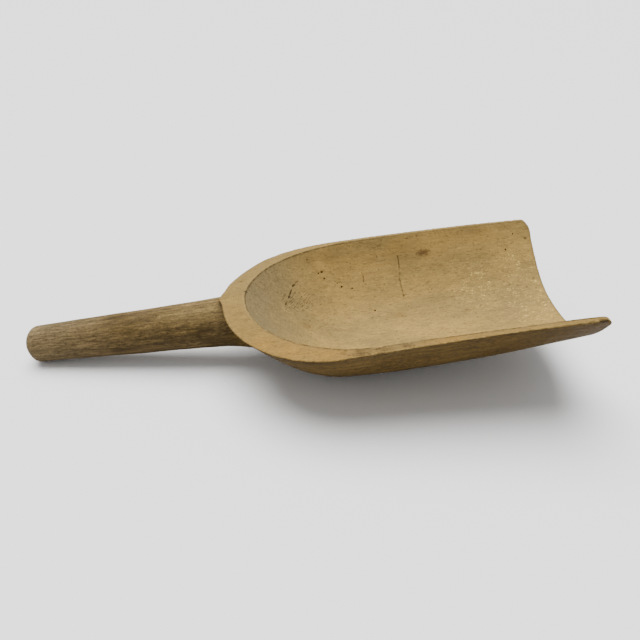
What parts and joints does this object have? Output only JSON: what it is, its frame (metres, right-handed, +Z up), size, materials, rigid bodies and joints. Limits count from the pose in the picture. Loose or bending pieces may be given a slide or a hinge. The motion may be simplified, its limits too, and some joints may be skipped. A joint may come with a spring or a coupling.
{
  "type": "feed scoop",
  "caption": "Hand-carved wooden feed scoop: an open-ended round-bottomed bowl with a thick heel rim and a straight tapered round handle.",
  "frame": {"origin": "centre of the footprint, on the surface that the scoop rests on: the worn flat under the belly and the end of the handle both touch z = 0", "axes": "+X from the handle towards the mouth, +Y across the bowl, +Z up; the rim rises towards the mouth by about 5.9 degrees, as the scoop lies"},
  "size_m": [0.3858, 0.165, 0.0747],
  "materials": {
    "bowl_wood": "dry, smooth worn bare wood, tan inside and darker on the underside",
    "handle_wood": "hand-darkened bare wood with open grain"
  },
  "bodies": {
    "root": {"bowl": "bowl_wood", "handle": "handle_wood"}
  },
  "joints": []
}
